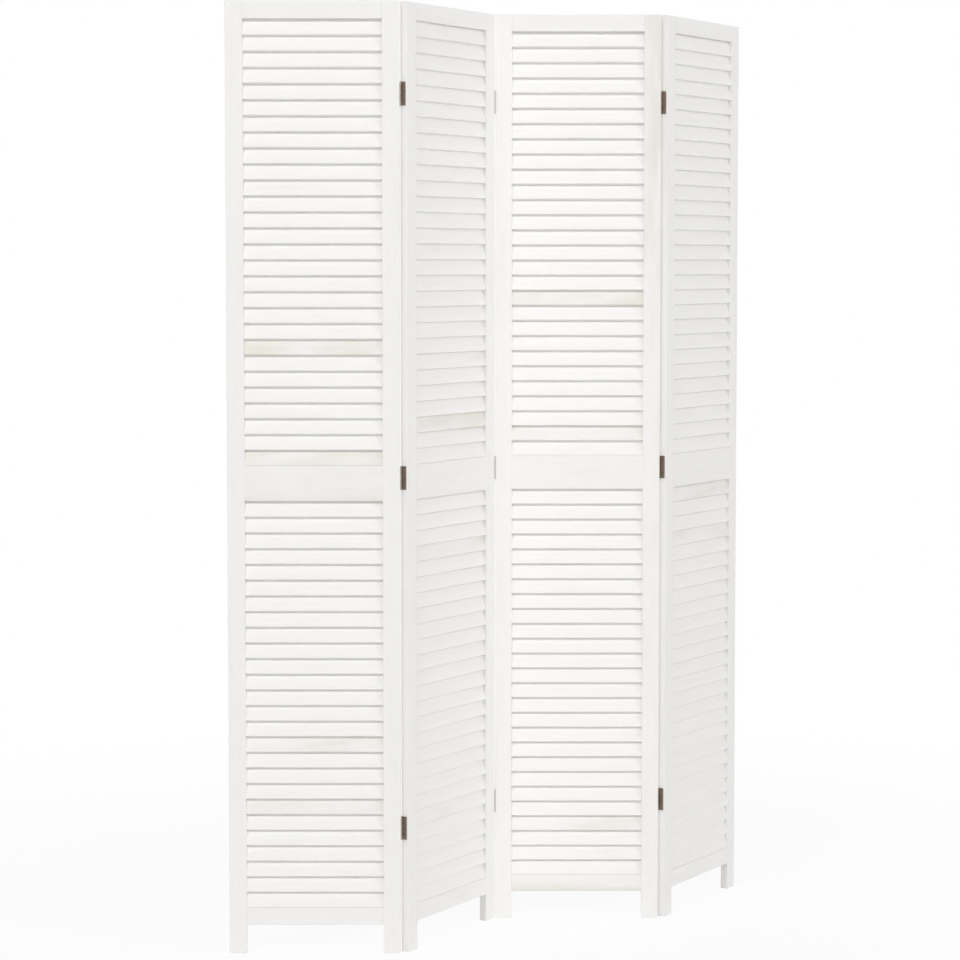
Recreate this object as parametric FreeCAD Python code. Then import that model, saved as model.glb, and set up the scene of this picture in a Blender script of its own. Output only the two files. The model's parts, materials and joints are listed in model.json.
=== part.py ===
import FreeCAD, Part

import math
import os

from FreeCAD import Placement, Rotation, Vector

# A four-panel louvred folding screen, standing in a zigzag.
# The origin is at floor level, in the middle of the screen's footprint. +Z is up,
# the front looks towards -Y, and panel 1 stands at the left end.
# All lengths are in millimetres and all angles in degrees.

# Panel frame
panel_width = 308.0
panel_thickness = 14.0
stile_width = 31.0
foot_height = 51.2
bottom_rail_height = 32.0
middle_rail_height = 63.0
top_rail_height = 31.0

# Louvre slats: the lower edge leans forward, the upper edge back
slat_pitch = 28.2
lower_slat_count = 26
upper_slat_count = 28
slat_board_width = 31.0
slat_board_thickness = 4.5
slat_eased_edge = 0.9
slat_face_margin = 0.6
slat_housing_depth = 6.0
slat_side_clearance = 0.15
slat_end_clearance = 0.25
slat_rail_clearance = 0.2

# Dowels between the rails and the stiles
dowel_diameter = 6.0
dowel_length = 30.0
dowel_bevel = 0.8
dowel_radial_clearance = 0.08
dowel_end_clearance = 0.4
narrow_rail_dowel_spacing = 15.0
middle_rail_dowel_spacing = 30.0

# Folds: the angle between neighbouring panels is measured from a flat screen
fold_angle = 59.4
fold_gap = 0.8
fold_axis_offset = 0.4

# Hinges: one at each of three levels on every fold
hinge_height = 42.0
top_hinge_drop = 141.0
middle_hinge_drop = 2.0
bottom_hinge_lift = 204.0
leaf_reach = 11.0
leaf_thickness = 0.8
mortise_clearance = 0.15
knuckle_count = 5
knuckle_radius = 1.5
knuckle_axial_clearance = 0.2
knuckle_relief = 0.35
pin_radius = 0.75
pin_radial_clearance = 0.05
pin_head_radius = 1.2
pin_head_height = 0.5
pin_head_gap = 0.1

# Countersunk wood screws, two in each leaf
screw_end_inset = 8.0
screw_length = 13.0
screw_tip_length = 3.0
screw_shank_radius = 1.25
screw_head_radius = 2.4
screw_head_depth = 1.15
screw_clearance = 0.08
screw_sink = 0.05
driver_slot_length = 2.6
driver_slot_width = 0.6
driver_slot_depth = 0.5

# Derived levels, from the floor up
lower_opening_base = foot_height + bottom_rail_height
lower_opening_top = lower_opening_base + lower_slat_count * slat_pitch
upper_opening_base = lower_opening_top + middle_rail_height
upper_opening_top = upper_opening_base + upper_slat_count * slat_pitch
panel_height = upper_opening_top + top_rail_height

hinge_levels = {
    "top": panel_height - top_hinge_drop - hinge_height / 2,
    "middle": upper_opening_base - middle_hinge_drop - hinge_height / 2,
    "bottom": bottom_hinge_lift + hinge_height / 2,
}

# Derived slat tilt from the vertical, so that a board just fills the panel's thickness
slat_depth = panel_thickness - 2 * slat_face_margin
slat_diagonal = math.hypot(slat_board_width, slat_board_thickness)
slat_tilt = math.asin(slat_depth / slat_diagonal) - math.atan2(slat_board_thickness, slat_board_width)

# Derived edges of the opening between the stiles
opening_left = stile_width
opening_right = panel_width - stile_width

# Derived hinge sizes
knuckle_length = (hinge_height - (knuckle_count - 1) * knuckle_axial_clearance) / knuckle_count
leaf_face = fold_gap / 2
leaf_end = -(fold_axis_offset + leaf_reach)
screw_line = -(fold_axis_offset + leaf_reach / 2)
pin_half_length = hinge_height / 2 + pin_head_gap + pin_head_height

vertical = Vector(0, 0, 1)


def block(low, high):
    """A box between two opposite corners."""
    size = Vector(*high) - Vector(*low)
    return Part.makeBox(size.x, size.y, size.z, Vector(*low))


def rod(radius, low, high):
    """An upright cylinder on the local axis, between two levels."""
    return Part.makeCylinder(radius, high - low, Vector(0, 0, low))


def turned(outline):
    """A solid of revolution about the local Z axis, from (radius, height) points."""
    points = [Vector(radius, 0, height) for radius, height in outline]
    face = Part.Face(Part.makePolygon(points + points[:1]))
    return face.revolve(Vector(0, 0, 0), vertical, 360)


def laid_along_x(shape, start, sign):
    """Turn a solid from the local Z axis to the X axis, pointing along sign, and move it to start."""
    result = shape.copy()
    result.Placement = Placement(Vector(*start), Rotation(vertical, Vector(sign, 0, 0)))
    return result


def louvre_prism(left, right, level, growth, eased, base, top):
    """One slanted board from left to right, its front lower edge at level.

    It is grown all round for a housing, its long edges are eased, and it ends at the rails.
    """
    across = (math.sin(slat_tilt), math.cos(slat_tilt))
    inward = (math.cos(slat_tilt), -math.sin(slat_tilt))

    def corner(along_board, through_board):
        depth = slat_face_margin + along_board * across[0] + through_board * inward[0]
        height = level + along_board * across[1] + through_board * inward[1]
        return Vector(left, depth, height)

    low, high = -growth, slat_board_width + growth
    front, back = -growth, slat_board_thickness + growth
    if eased > 0:
        points = [
            corner(low, front + eased), corner(low + eased, front),
            corner(high - eased, front), corner(high, front + eased),
            corner(high, back - eased), corner(high - eased, back),
            corner(low + eased, back), corner(low, back - eased),
        ]
    else:
        points = [corner(low, front), corner(high, front), corner(high, back), corner(low, back)]
    board = Part.Face(Part.makePolygon(points + points[:1])).extrude(Vector(right - left, 0, 0))
    room = block((left, 0, base), (right, panel_thickness, top))
    return board.common(room).Solids[0]


def louvre_levels(base, count):
    """Heights of the slats' front lower edges in one opening."""
    return [base + slat_rail_clearance + index * slat_pitch for index in range(count)]


def slats(base, top, count):
    """All boards of one opening, with their ends in the stiles' housings."""
    left = opening_left - slat_housing_depth + slat_end_clearance
    right = opening_right + slat_housing_depth - slat_end_clearance
    boards = []
    for level in louvre_levels(base, count):
        boards.append(louvre_prism(left, right, level, 0, slat_eased_edge,
                                   base + slat_rail_clearance, top - slat_rail_clearance))
    return Part.makeCompound(boards)


def slat_housings(left, right):
    """The slanted pockets for every slat end in one stile, between two positions along X."""
    pockets = []
    for base, top, count in ((lower_opening_base, lower_opening_top, lower_slat_count),
                             (upper_opening_base, upper_opening_top, upper_slat_count)):
        for level in louvre_levels(base, count):
            pockets.append(louvre_prism(left, right, level, slat_side_clearance, 0, base, top))
    return pockets


def rail_spans():
    """Each rail's lowest and highest level and its dowel spacing, by name."""
    return {
        "bottom_rail": (foot_height, lower_opening_base, narrow_rail_dowel_spacing),
        "middle_rail": (lower_opening_top, upper_opening_base, middle_rail_dowel_spacing),
        "top_rail": (upper_opening_top, panel_height, narrow_rail_dowel_spacing),
    }


def dowel_places():
    """Centres of all dowels of a panel, where the rails meet the stiles."""
    places = []
    for base, top, spacing in rail_spans().values():
        for joint in (opening_left, opening_right):
            for offset in (-spacing / 2, spacing / 2):
                places.append((joint, panel_thickness / 2, (base + top) / 2 + offset))
    return places


def dowels():
    """Bevelled round dowels, half in the stile and half in the rail."""
    radius = dowel_diameter / 2
    half = dowel_length / 2
    pin = turned([(0, -half), (radius - dowel_bevel, -half), (radius, dowel_bevel - half),
                  (radius, half - dowel_bevel), (radius - dowel_bevel, half), (0, half)])
    return Part.makeCompound([laid_along_x(pin, place, 1) for place in dowel_places()])


def dowel_holes():
    """Bores for all dowels of a panel, cut in stiles and rails alike."""
    reach = dowel_length / 2 + dowel_end_clearance
    bore = rod(dowel_diameter / 2 + dowel_radial_clearance, -reach, reach)
    return [laid_along_x(bore, place, 1) for place in dowel_places()]


def rail(base, top):
    """One rail between the stiles, bored for its dowels."""
    board = block((opening_left, 0, base), (opening_right, panel_thickness, top))
    return board.cut(Part.makeCompound(dowel_holes()))


def stile(left, right, pockets, hinge_cuts):
    """One upright with housings for the slats, dowel bores and hinge cuts."""
    board = block((left, 0, 0), (right, panel_thickness, panel_height))
    return board.cut(Part.makeCompound(pockets)).cut(Part.makeCompound(dowel_holes() + hinge_cuts))


# A hinge's own frame has the pin on its Z axis and the barrel on the +Y side of the screen.
# Side -1 is the leaf at -X, with the outer knuckles, and side 1 is the leaf at +X.

def knuckle_span(index):
    """Lowest and highest level of one knuckle."""
    low = -hinge_height / 2 + index * (knuckle_length + knuckle_axial_clearance)
    return low, low + knuckle_length


def own_knuckles(side):
    """Indices of the knuckles that belong to one leaf."""
    return range(0 if side < 0 else 1, knuckle_count, 2)


def side_block(side, near, far, front, back, low, high):
    """A box on one side of the hinge, between two distances from its middle plane."""
    left, right = sorted((side * near, side * far))
    return block((left, front, low), (right, back, high))


def screw_places(side):
    """Points on the leaf's face where the screws go in."""
    reach = hinge_height / 2 - screw_end_inset
    return [(side * leaf_face, screw_line, offset) for offset in (-reach, reach)]


def screw_hole(place, side):
    """Countersunk clearance for one screw, through the leaf and into the wood."""
    head = screw_head_radius + screw_clearance
    shank = screw_shank_radius + screw_clearance
    seat = screw_sink + screw_head_depth
    hole = turned([(0, -fold_gap / 4), (head, -fold_gap / 4), (head, screw_sink), (shank, seat),
                   (shank, screw_sink + screw_length + screw_clearance),
                   (0, screw_sink + screw_length + screw_clearance)])
    return laid_along_x(hole, place, side)


def screw(place, side):
    """One countersunk wood screw with a cross recess."""
    body = turned([(0, screw_sink), (screw_head_radius, screw_sink),
                   (screw_shank_radius, screw_sink + screw_head_depth),
                   (screw_shank_radius, screw_sink + screw_length - screw_tip_length),
                   (0, screw_sink + screw_length)])
    half_length, half_width = driver_slot_length / 2, driver_slot_width / 2
    slot_floor = screw_sink + driver_slot_depth
    for reach_x, reach_y in ((half_length, half_width), (half_width, half_length)):
        body = body.cut(block((-reach_x, -reach_y, 0), (reach_x, reach_y, slot_floor)))
    return laid_along_x(body, place, side)


def leaf(side):
    """One leaf: a flat plate with rolled knuckles, relieved for the other leaf's knuckles."""
    half = hinge_height / 2
    plate = side_block(side, leaf_face, leaf_face + leaf_thickness, leaf_end, 0, -half, half)
    for index in own_knuckles(-side):
        low, high = knuckle_span(index)
        plate = plate.cut(rod(knuckle_radius + knuckle_relief,
                              low - knuckle_axial_clearance, high + knuckle_axial_clearance))
    for index in own_knuckles(side):
        plate = plate.fuse(rod(knuckle_radius, *knuckle_span(index)))
    plate = plate.removeSplitter().cut(rod(pin_radius + pin_radial_clearance, -hinge_height, hinge_height))
    holes = [screw_hole(place, side) for place in screw_places(side)]
    return plate.cut(Part.makeCompound(holes)).Solids[0]


def pin():
    """The hinge pin, headed at both ends."""
    shoulder = hinge_height / 2 + pin_head_gap
    return turned([(0, -pin_half_length), (pin_head_radius, -pin_half_length), (pin_head_radius, -shoulder),
                   (pin_radius, -shoulder), (pin_radius, shoulder), (pin_head_radius, shoulder),
                   (pin_head_radius, pin_half_length), (0, pin_half_length)])


def hinge_cuts(side):
    """Wood taken out of one stile: the leaf's mortise, room for the barrel, and screw holes."""
    half = hinge_height / 2 + mortise_clearance
    mortise = side_block(side, 0, leaf_face + leaf_thickness, leaf_end - mortise_clearance, 0, -half, half)
    barrel_end = pin_half_length + knuckle_relief
    barrel_room = rod(knuckle_radius + knuckle_relief, -barrel_end, barrel_end)
    return [mortise, barrel_room] + [screw_hole(place, side) for place in screw_places(side)]


# Each fold joins the right edge of one panel to the left edge of the next. The barrels of the
# first and third folds are on the back of the screen, those of the second on the front.

class Fold:
    """Where a fold's axis is in its two panels, and which leaf each panel carries."""

    def __init__(self, number):
        self.name = f"fold_{number}_{number + 1}"
        self.at_back = number % 2 == 1
        depth = panel_thickness + fold_axis_offset if self.at_back else -fold_axis_offset
        self.in_left_panel = Vector(panel_width + fold_gap / 2, depth, 0)
        self.in_right_panel = Vector(-fold_gap / 2, depth, 0)
        self.turn = Rotation(vertical, 0 if self.at_back else 180)
        self.left_panel_side = -1 if self.at_back else 1

    def placed(self, shape, axis, level):
        """A shape from the hinge's own frame, put on this fold's axis in a panel's frame."""
        result = shape.copy()
        result.Placement = Placement(axis + vertical * level, self.turn).multiply(shape.Placement)
        return result

    def cuts(self, axis, side):
        """All hinge cuts for one stile."""
        return [self.placed(cut, axis, level) for level in hinge_levels.values() for cut in hinge_cuts(side)]


folds = [Fold(number) for number in (1, 2, 3)]


def panel_nodes(number):
    """Every wooden piece of one panel, in the panel's own frame."""
    right_fold = folds[number - 1] if number <= len(folds) else None
    left_fold = folds[number - 2] if number >= 2 else None
    left_cuts = left_fold.cuts(left_fold.in_right_panel, -left_fold.left_panel_side) if left_fold else []
    right_cuts = right_fold.cuts(right_fold.in_left_panel, right_fold.left_panel_side) if right_fold else []
    left_pockets = slat_housings(opening_left - slat_housing_depth, opening_left)
    right_pockets = slat_housings(opening_right, opening_right + slat_housing_depth)
    nodes = {
        "left_stile": stile(0, opening_left, left_pockets, left_cuts),
        "right_stile": stile(opening_right, panel_width, right_pockets, right_cuts),
        "lower_slats": slats(lower_opening_base, lower_opening_top, lower_slat_count),
        "upper_slats": slats(upper_opening_base, upper_opening_top, upper_slat_count),
        "dowels": dowels(),
    }
    for name, (base, top, _) in rail_spans().items():
        nodes[name] = rail(base, top)
    return {f"panel_{number}_{name}": shape for name, shape in nodes.items()}


def fold_nodes(fold):
    """The hinges of one fold, as pieces of its left panel and pieces of its right panel."""
    sides = {"left": (fold.in_left_panel, fold.left_panel_side),
             "right": (fold.in_right_panel, -fold.left_panel_side)}
    carried = {}
    for panel_side, (axis, side) in sides.items():
        nodes = {}
        for level_name, level in hinge_levels.items():
            nodes[f"{fold.name}_{level_name}_{panel_side}_leaf"] = fold.placed(leaf(side), axis, level)
        screws = [fold.placed(screw(place, side), axis, level)
                  for level in hinge_levels.values() for place in screw_places(side)]
        nodes[f"{fold.name}_{panel_side}_screws"] = Part.makeCompound(screws)
        carried[panel_side] = nodes
    pins = [fold.placed(pin(), fold.in_left_panel, level) for level in hinge_levels.values()]
    carried["left"][f"{fold.name}_pins"] = Part.makeCompound(pins)
    return carried


def panel_placements():
    """Where each panel stands at rest, with panel 1's front left corner at the origin."""
    placements = [Placement()]
    for fold in folds:
        left = placements[-1]
        direction = fold_angle if fold.at_back else 0
        turn = Rotation(vertical, direction)
        axis = left.multVec(fold.in_left_panel)
        placements.append(Placement(axis - turn.multVec(fold.in_right_panel), turn))
    return placements


def screen():
    """Every node of the screen in its place, with the footprint's middle at the origin."""
    carried = [panel_nodes(number) for number in range(1, len(folds) + 2)]
    for index, fold in enumerate(folds):
        pieces = fold_nodes(fold)
        carried[index].update(pieces["left"])
        carried[index + 1].update(pieces["right"])
    nodes = {}
    for placement, pieces in zip(panel_placements(), carried):
        for name, shape in pieces.items():
            shape.Placement = placement.multiply(shape.Placement)
            nodes[name] = shape
    extent = Part.makeCompound(list(nodes.values())).BoundBox
    shift = Vector(-extent.Center.x, -extent.Center.y, -extent.ZMin)
    for shape in nodes.values():
        shape.translate(shift)
    for fold, placement in zip(folds, panel_placements()):
        print(fold.name, "axis at", placement.multVec(fold.in_left_panel) + shift)
    print("screen", extent.XLength, extent.YLength, extent.ZLength)
    return nodes


os.makedirs("parts", exist_ok=True)
for node_name, node_shape in screen().items():
    node_shape.exportStep(f"parts/{node_name}.step")
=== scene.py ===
"""Looks of a four-panel louvred folding screen: eased boards, slanted slats, hinges and a studio."""

import json
import math
import random

import bmesh
import bpy
from mathutils import Matrix, Vector

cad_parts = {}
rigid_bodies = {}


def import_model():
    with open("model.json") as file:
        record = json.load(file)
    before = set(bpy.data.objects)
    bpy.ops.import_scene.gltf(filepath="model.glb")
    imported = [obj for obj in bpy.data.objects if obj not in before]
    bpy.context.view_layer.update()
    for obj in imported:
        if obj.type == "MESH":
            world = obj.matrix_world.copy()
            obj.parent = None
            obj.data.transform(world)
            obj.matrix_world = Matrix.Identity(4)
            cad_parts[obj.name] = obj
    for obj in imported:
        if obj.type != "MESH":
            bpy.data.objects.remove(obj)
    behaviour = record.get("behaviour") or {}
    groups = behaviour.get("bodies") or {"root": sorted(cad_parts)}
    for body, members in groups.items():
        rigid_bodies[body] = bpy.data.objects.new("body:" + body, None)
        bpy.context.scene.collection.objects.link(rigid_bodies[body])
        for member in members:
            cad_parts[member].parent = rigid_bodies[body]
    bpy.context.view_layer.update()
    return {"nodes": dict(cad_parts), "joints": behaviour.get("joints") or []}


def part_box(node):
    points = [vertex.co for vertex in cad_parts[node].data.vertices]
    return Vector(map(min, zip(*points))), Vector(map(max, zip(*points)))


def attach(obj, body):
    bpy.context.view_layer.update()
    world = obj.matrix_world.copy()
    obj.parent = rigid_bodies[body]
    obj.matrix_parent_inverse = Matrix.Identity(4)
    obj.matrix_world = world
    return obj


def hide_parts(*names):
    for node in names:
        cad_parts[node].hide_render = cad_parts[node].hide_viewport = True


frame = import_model()

bl_info = {
    "name": "Louvred Folding Screen",
    "version": (1, 0, 0),
    "blender": (4, 5, 0),
    "location": "3D View > Sidebar > Folding Screen",
    "description": "Dresses the frame of a louvred folding screen with boards, slats and hinges",
    "category": "Object",
}

MILLIMETRE = 0.001

# Sizes read from the frame, in metres. Panel 1 stands square to the axes, so its boxes give them.
FIRST_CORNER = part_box("panel_1_left_stile")[0]
STILE_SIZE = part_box("panel_1_left_stile")[1] - FIRST_CORNER
STILE_WIDTH, PANEL_THICKNESS, PANEL_HEIGHT = STILE_SIZE
PANEL_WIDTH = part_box("panel_1_right_stile")[1].x - FIRST_CORNER.x
RAIL_NAMES = ("bottom_rail", "middle_rail", "top_rail")
RAIL_SPANS = {name: [corner.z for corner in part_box(f"panel_1_{name}")] for name in RAIL_NAMES}
OPENINGS = {
    "lower": (RAIL_SPANS["bottom_rail"][1], RAIL_SPANS["middle_rail"][0]),
    "upper": (RAIL_SPANS["middle_rail"][1], RAIL_SPANS["top_rail"][0]),
}

# The first fold's axis lies just outside panel 1's right back corner.
FIRST_AXIS = Vector(frame["joints"][0]["pos_m"])
HALF_GAP = FIRST_AXIS.x - FIRST_CORNER.x - PANEL_WIDTH
AXIS_OFFSET = FIRST_AXIS.y - FIRST_CORNER.y - PANEL_THICKNESS

HINGE_NAMES = ("top", "middle", "bottom")
HINGE_SPANS = {name: [corner.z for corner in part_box(f"fold_1_2_{name}_left_leaf")] for name in HINGE_NAMES}
HINGE_HEIGHT = HINGE_SPANS["top"][1] - HINGE_SPANS["top"][0]
HINGE_LEVELS = {name: sum(span) / 2 for name, span in HINGE_SPANS.items()}
LEAF_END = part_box("fold_1_2_top_left_leaf")[0].y - FIRST_AXIS.y
PIN_HALF_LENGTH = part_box("fold_1_2_pins")[1].z - HINGE_LEVELS["top"]

# Up to two slats of each opening show more of the beige wood, counted from 0 at the bottom.
NO_SLAT = -1
BEIGE_SLATS = {
    (1, "upper"): (0, 7), (1, "lower"): (6, 10),
    (2, "upper"): (2, NO_SLAT), (2, "lower"): (22, NO_SLAT),
    (3, "upper"): (1, 10), (3, "lower"): (3, NO_SLAT),
    (4, "upper"): (NO_SLAT, NO_SLAT), (4, "lower"): (22, 25),
}

# Tones of boards: how much of the beige wood shows through the wash.
BEIGE_SLAT_TONES = {"upper": 0.62, "lower": 0.42}
BEIGE_RAIL_TONES = {(1, "middle_rail"): 0.5, (3, "bottom_rail"): 0.65}
BEIGE_STILE_TONES = {(3, "right"): 0.5}
PLAIN_TONE = 0.05
SLAT_TONE_LIMITS = (-0.1, 0.12)
GRAIN_SHIFT_LIMITS = (0.0, 90.0)

# What the settings of one kind have in common.
LENGTH = {"min": 0.0, "subtype": "DISTANCE", "unit": "LENGTH"}
PLACE = {"subtype": "TRANSLATION", "unit": "LENGTH"}
COLOUR = {"min": 0.0, "max": 1.0, "subtype": "COLOR"}
POWER = {"min": 0.0, "subtype": "POWER", "unit": "POWER"}
CAMERA_LENGTH = {"min": 1.0, "subtype": "DISTANCE_CAMERA", "unit": "CAMERA"}


class ScreenWoodSettings(bpy.types.PropertyGroup):
    """Sizes and colours of the wooden boards."""

    outer_easing: bpy.props.FloatProperty(
        name="Outer Easing", description="Rounding of the outer arrises of stiles and rails",
        default=1.0 * MILLIMETRE, **LENGTH)
    inner_easing: bpy.props.FloatProperty(
        name="Inner Easing", description="Rounding of the arrises around the openings",
        default=0.4 * MILLIMETRE, **LENGTH)
    slat_width: bpy.props.FloatProperty(
        name="Slat Width", description="Width of a slat's board across the grain",
        default=31.0 * MILLIMETRE, **LENGTH)
    slat_thickness: bpy.props.FloatProperty(
        name="Slat Thickness", description="Thickness of a slat's board",
        default=4.5 * MILLIMETRE, **LENGTH)
    slat_easing: bpy.props.FloatProperty(
        name="Slat Easing", description="Rounding of a slat's long edges",
        default=0.9 * MILLIMETRE, **LENGTH)
    slat_pitch: bpy.props.FloatProperty(
        name="Slat Pitch", description="Height from one slat to the next",
        default=28.2 * MILLIMETRE, min=1.0 * MILLIMETRE, subtype="DISTANCE", unit="LENGTH")
    slat_face_margin: bpy.props.FloatProperty(
        name="Slat Face Margin", description="How far the slats stay behind the faces of a panel",
        default=0.6 * MILLIMETRE, **LENGTH)
    slat_rail_clearance: bpy.props.FloatProperty(
        name="Slat Rail Clearance", description="Room between the end slats and the rails",
        default=0.2 * MILLIMETRE, **LENGTH)
    housing_depth: bpy.props.FloatProperty(
        name="Housing Depth", description="Depth of the housings for slat ends in the stiles",
        default=6.0 * MILLIMETRE, **LENGTH)
    housing_side_clearance: bpy.props.FloatProperty(
        name="Housing Side Clearance", description="Room round a slat in its housing",
        default=0.15 * MILLIMETRE, **LENGTH)
    housing_end_clearance: bpy.props.FloatProperty(
        name="Housing End Clearance", description="Room past the end of a slat in its housing",
        default=0.25 * MILLIMETRE, **LENGTH)
    dowel_bore: bpy.props.FloatProperty(
        name="Dowel Bore", description="Diameter of the dowel holes",
        default=6.16 * MILLIMETRE, **LENGTH)
    dowel_reach: bpy.props.FloatProperty(
        name="Dowel Reach", description="Depth of a dowel hole in a stile or a rail",
        default=15.4 * MILLIMETRE, **LENGTH)
    narrow_rail_dowels: bpy.props.FloatProperty(
        name="Narrow Rail Dowels", description="Height between two dowels in the top and bottom rails",
        default=15.0 * MILLIMETRE, **LENGTH)
    middle_rail_dowels: bpy.props.FloatProperty(
        name="Middle Rail Dowels", description="Height between two dowels in the middle rail",
        default=30.0 * MILLIMETRE, **LENGTH)
    wash_colour: bpy.props.FloatVectorProperty(
        name="Wash Colour", description="Colour of the white wash where it covers",
        default=(0.935, 0.925, 0.913), **COLOUR)
    beige_colour: bpy.props.FloatVectorProperty(
        name="Beige Colour", description="Colour of the wood that shows through a thin wash",
        default=(0.79, 0.768, 0.69), **COLOUR)
    worn_colour: bpy.props.FloatVectorProperty(
        name="Worn Colour", description="Colour of the wood where arrises are rubbed",
        default=(0.60, 0.51, 0.40), **COLOUR)
    dowel_colour: bpy.props.FloatVectorProperty(
        name="Dowel Colour", description="Colour of the bare dowels",
        default=(0.57, 0.39, 0.20), **COLOUR)


class ScreenHingeSettings(bpy.types.PropertyGroup):
    """Sizes and colours of the hinges and their screws."""

    leaf_thickness: bpy.props.FloatProperty(
        name="Leaf Thickness", description="Thickness of a hinge leaf",
        default=0.8 * MILLIMETRE, **LENGTH)
    leaf_easing: bpy.props.FloatProperty(
        name="Leaf Easing", description="Rounding of the arrises of leaves and pins",
        default=0.12 * MILLIMETRE, **LENGTH)
    mortise_clearance: bpy.props.FloatProperty(
        name="Mortise Clearance", description="Room round a leaf in its mortise",
        default=0.15 * MILLIMETRE, **LENGTH)
    barrel_room: bpy.props.FloatProperty(
        name="Barrel Room", description="Radius of the room that the wood leaves for a barrel",
        default=1.85 * MILLIMETRE, **LENGTH)
    screw_inset: bpy.props.FloatProperty(
        name="Screw Inset", description="Height from a leaf's end to its nearer screw",
        default=8.0 * MILLIMETRE, **LENGTH)
    screw_bore: bpy.props.FloatProperty(
        name="Screw Bore", description="Diameter of a screw's hole in the wood",
        default=2.66 * MILLIMETRE, **LENGTH)
    screw_depth: bpy.props.FloatProperty(
        name="Screw Depth", description="Depth of a screw's hole from the leaf's face",
        default=13.13 * MILLIMETRE, **LENGTH)
    bronze_colour: bpy.props.FloatVectorProperty(
        name="Bronze Colour", description="Colour of the hinges' antique bronze plating",
        default=(0.32, 0.248, 0.193), **COLOUR)
    patina_colour: bpy.props.FloatVectorProperty(
        name="Patina Colour", description="Darker colour in the hollows of the plating",
        default=(0.215, 0.164, 0.127), **COLOUR)
    rubbed_colour: bpy.props.FloatVectorProperty(
        name="Rubbed Colour", description="Brighter colour where the plating is rubbed",
        default=(0.50, 0.40, 0.30), **COLOUR)
    # Painted highlight: this pale colour on the barrels stands in for the bright highlight they catch.
    barrel_highlight_colour: bpy.props.FloatVectorProperty(
        name="Barrel Colour", description="Pale colour painted on the barrels in place of their highlight",
        default=(0.68, 0.665, 0.645), **COLOUR)


class ScreenStageSettings(bpy.types.PropertyGroup):
    """Camera, light and floor."""

    camera_place: bpy.props.FloatVectorProperty(
        name="Camera Place", description="Where the camera stands",
        default=(-0.0282, -5.2103, 1.2349), **PLACE)
    camera_dip: bpy.props.FloatProperty(
        name="Camera Dip", description="How far the camera looks down from the level",
        default=math.radians(3.716), subtype="ANGLE", unit="ROTATION")
    camera_lens: bpy.props.FloatProperty(
        name="Camera Lens", description="Focal length in millimetres",
        default=104.27, **CAMERA_LENGTH)
    camera_sensor: bpy.props.FloatProperty(
        name="Camera Sensor", description="Width of the camera's sensor in millimetres",
        default=36.0, **CAMERA_LENGTH)
    camera_shift: bpy.props.FloatProperty(
        name="Camera Shift", description="Upward shift of the lens, as a share of the picture's width",
        default=-0.0354)
    sky_strength: bpy.props.FloatProperty(
        name="Sky Strength", description="Strength of the even light from all sides",
        default=0.37, min=0.0)
    key_place: bpy.props.FloatVectorProperty(
        name="Key Place", description="Where the soft lamp in front on the left hangs",
        default=(-10.3, -20.4, 18.0), **PLACE)
    key_power: bpy.props.FloatProperty(
        name="Key Power", description="Power of the soft lamp in front on the left",
        default=1800.0, **POWER)
    front_place: bpy.props.FloatVectorProperty(
        name="Front Place", description="Where the wide soft lamp in front hangs",
        default=(0.0, -22.8, 17.1), **PLACE)
    front_power: bpy.props.FloatProperty(
        name="Front Power", description="Power of the wide soft lamp in front",
        default=1120.0, **POWER)
    side_place: bpy.props.FloatVectorProperty(
        name="Side Place", description="Where the soft lamp on the right hangs",
        default=(19.2, -10.6, 9.6), **PLACE)
    side_power: bpy.props.FloatProperty(
        name="Side Power", description="Power of the soft lamp on the right",
        default=1450.0, **POWER)
    back_place: bpy.props.FloatVectorProperty(
        name="Back Place", description="Where the wide soft lamp behind the screen hangs",
        default=(-7.2, 19.2, 5.5), **PLACE)
    back_power: bpy.props.FloatProperty(
        name="Back Power", description="Power of the wide soft lamp behind the screen",
        default=2000.0, **POWER)
    narrow_lamp: bpy.props.FloatProperty(
        name="Narrow Lamp", description="Width of the lamps on the left and on the right",
        default=5.9, **LENGTH)
    wide_lamp: bpy.props.FloatProperty(
        name="Wide Lamp", description="Width of the lamps in front and behind",
        default=21.6, **LENGTH)
    lamp_height: bpy.props.FloatProperty(
        name="Lamp Height", description="Height of each lamp",
        default=3.2, **LENGTH)
    floor_size: bpy.props.FloatProperty(
        name="Floor Size", description="Side of the square floor",
        default=60.0, **LENGTH)
    floor_colour: bpy.props.FloatVectorProperty(
        name="Floor Colour", description="Colour of the pale floor",
        default=(0.9, 0.9, 0.9), **COLOUR)
    floor_whiteness: bpy.props.FloatProperty(
        name="Floor Whiteness", description="How far the floor near the screen is lifted to white",
        default=0.9, min=0.0, max=1.0, subtype="FACTOR")
    white_start: bpy.props.FloatProperty(
        name="White Start", description="Distance from the middle where the fade to white starts",
        default=0.6, **LENGTH)
    white_end: bpy.props.FloatProperty(
        name="White End", description="Distance from the middle where the floor is all white",
        default=2.4, **LENGTH)


class Panel:
    """One panel: its body's name and the place of its front left foot corner."""

    def __init__(self, number, corner, direction):
        self.number = number
        self.body = f"panel_{number}"
        self.place = Matrix.Translation(corner) @ Matrix.Rotation(direction, 4, "Z")


class Fold:
    """One fold of two panels. In a hinge's own frame the pin is on Z and the barrel is at the back."""

    def __init__(self, joint):
        self.name = joint["name"]
        self.left_panel = joint["parent"]
        self.right_panel = joint["child"]
        at_back = joint["axis"][2] > 0
        depth = PANEL_THICKNESS + AXIS_OFFSET if at_back else -AXIS_OFFSET
        turn = Matrix.Rotation(0.0 if at_back else math.pi, 4, "Z")
        self.in_left_panel = Matrix.Translation((PANEL_WIDTH + HALF_GAP, depth, 0.0)) @ turn
        self.in_right_panel = Matrix.Translation((-HALF_GAP, depth, 0.0)) @ turn
        self.left_side = -1 if at_back else 1
        self.right_side = -self.left_side


FOLDS = [Fold(joint) for joint in frame["joints"]]


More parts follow.
